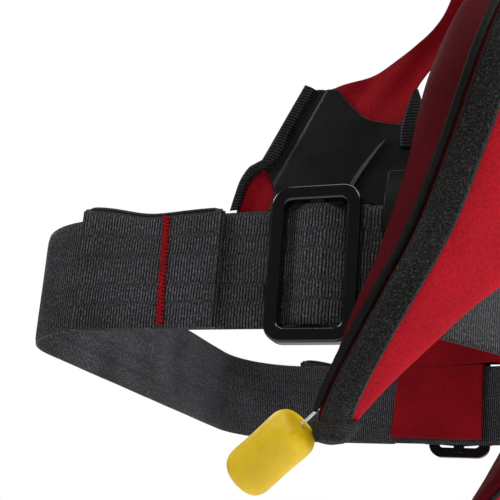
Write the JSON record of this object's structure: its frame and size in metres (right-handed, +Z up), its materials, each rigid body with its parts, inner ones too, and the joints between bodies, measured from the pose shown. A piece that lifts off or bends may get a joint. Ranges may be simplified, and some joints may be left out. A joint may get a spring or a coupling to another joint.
{
  "type": "inflatable life jacket",
  "caption": "Uninflated horse-collar life jacket in worn shape: red covers with black closure tape, ribbed waist belt with sliders, front buckle and a yellow pull toggle",
  "frame": {"origin": "On the torso's axis at the height of the waist belt", "axes": "+Z up along the torso, -Y the wearer's front, -X the wearer's right"},
  "size_m": [0.3984, 0.2927, 0.4637],
  "materials": {
    "red_fabric": "woven red polyester, matt",
    "black_tape": "black textured tape",
    "black_patch": "black coated fabric",
    "webbing": "ribbed dark grey webbing",
    "red_thread": "red stitching thread",
    "slider_plastic": "glossy black",
    "buckle_plastic": "satin black",
    "steel": "plated steel",
    "inflator_plastic": "white moulded",
    "green_plastic": "green moulded",
    "toggle_yellow": "satin yellow moulded",
    "bladder_fabric": "coated yellow fabric",
    "black_rubber": "matt black",
    "valve_plastic": "moulded",
    "lamp_plastic": "clear moulded"
  },
  "bodies": {
    "jacket": {"right_front_cover": "red_fabric", "left_front_cover": "red_fabric", "right_back_cover": "red_fabric", "left_back_cover": "red_fabric", "right_closure_tape": "black_tape", "left_closure_tape": "black_tape", "right_closure_piping": "black_tape", "left_closure_piping": "black_tape", "collar_outer_cover": "red_fabric", "collar_inner_cover": "black_patch", "bladder": "bladder_fabric", "right_wing_patch": "black_patch", "left_wing_patch": "black_patch", "right_side_wing": "red_fabric", "left_side_wing": "red_fabric", "right_wing_binding": "black_tape", "left_wing_binding": "black_tape", "waist_belt_back": "webbing", "waist_belt_right": "webbing", "waist_belt_left": "webbing", "right_belt_hem": "webbing", "left_belt_hem": "webbing", "right_hem_bartack": "red_thread", "left_hem_bartack": "red_thread", "buckle_socket": "buckle_plastic", "socket_webbing": "webbing", "hanging_loop": "webbing", "inflator_body": "inflator_plastic", "lever_pin": "steel", "manifold_stem": "steel", "manifold_nut": "steel", "status_pin": "green_plastic", "oral_tube": "black_rubber", "oral_valve_body": "valve_plastic", "oral_valve_spring": "steel", "whistle": "toggle_yellow", "rescue_light": "lamp_plastic"},
    "pull": {"pull_wire": "steel", "pull_toggle": "toggle_yellow"},
    "lever": {"inflator_lever": "inflator_plastic"},
    "piercer": {"piercing_pin": "steel"},
    "cylinder": {"gas_cylinder": "steel"},
    "valve": {"oral_valve_plunger": "valve_plastic"},
    "cap": {"oral_cap": "black_rubber"},
    "right_slider": {"right_belt_slider": "slider_plastic", "right_slider_webbing": "webbing"},
    "left_slider": {"left_belt_slider": "slider_plastic", "left_slider_webbing": "webbing"},
    "plug": {"buckle_plug": "buckle_plastic", "plug_webbing": "webbing", "prong_pin_upper": "steel", "prong_pin_lower": "steel"},
    "upper_prong": {"buckle_prong_upper": "buckle_plastic"},
    "lower_prong": {"buckle_prong_lower": "buckle_plastic"}
  },
  "joints": [
    {"name": "toggle_pull", "type": "slide", "parent": "jacket", "child": "pull", "axis": [0.2546, 0.7692, -0.5861], "range_m": [0, 0.013]},
    {"name": "lever_swing", "type": "hinge", "parent": "jacket", "child": "lever", "pos_m": [-0.16751, -0.06858, -0.01019], "axis": [0.5511, 0.8173, 0.1681], "range_deg": [0, 35.5]},
    {"name": "piercing_stroke", "type": "slide", "parent": "jacket", "child": "piercer", "axis": [0.11, -0.2708, 0.9563], "range_m": [0, 0.00305]},
    {"name": "cylinder_turn", "type": "hinge", "parent": "jacket", "child": "cylinder", "pos_m": [-0.162, -0.0795, 0.007], "axis": [0.11, -0.2708, 0.9563], "range_deg": [0, 1440]},
    {"name": "oral_valve_press", "type": "slide", "parent": "jacket", "child": "valve", "axis": [0.11, 0.2708, -0.9563], "range_m": [0, 0.003], "stiffness_N_per_m": 300},
    {"name": "oral_cap_pull", "type": "slide", "parent": "jacket", "child": "cap", "axis": [-0.11, -0.2708, 0.9563], "range_m": [0, 0.014]},
    {"name": "right_slider_adjust", "type": "slide", "parent": "jacket", "child": "right_slider", "axis": [0, 1, 0], "range_m": [-0.003, 0.015]},
    {"name": "left_slider_adjust", "type": "slide", "parent": "jacket", "child": "left_slider", "axis": [0, 1, 0], "range_m": [-0.003, 0.015]},
    {"name": "buckle_release", "type": "slide", "parent": "jacket", "child": "plug", "axis": [1, 0, 0], "range_m": [0, 0.024]},
    {"name": "upper_prong_press", "type": "hinge", "parent": "plug", "child": "upper_prong", "pos_m": [0.0035, -0.1183, 0.017], "axis": [0, -1, 0], "range_deg": [0, 5], "stiffness_Nm_per_rad": 0.5},
    {"name": "lower_prong_press", "type": "hinge", "parent": "plug", "child": "lower_prong", "pos_m": [0.0035, -0.1183, -0.017], "axis": [0, 1, 0], "range_deg": [0, 5], "stiffness_Nm_per_rad": 0.5}
  ],
  "couplings": [
    {"joint": "lever_swing", "follows": "toggle_pull", "rad_per_m": 46.99},
    {"joint": "piercing_stroke", "follows": "toggle_pull", "ratio": 0.23077}
  ]
}
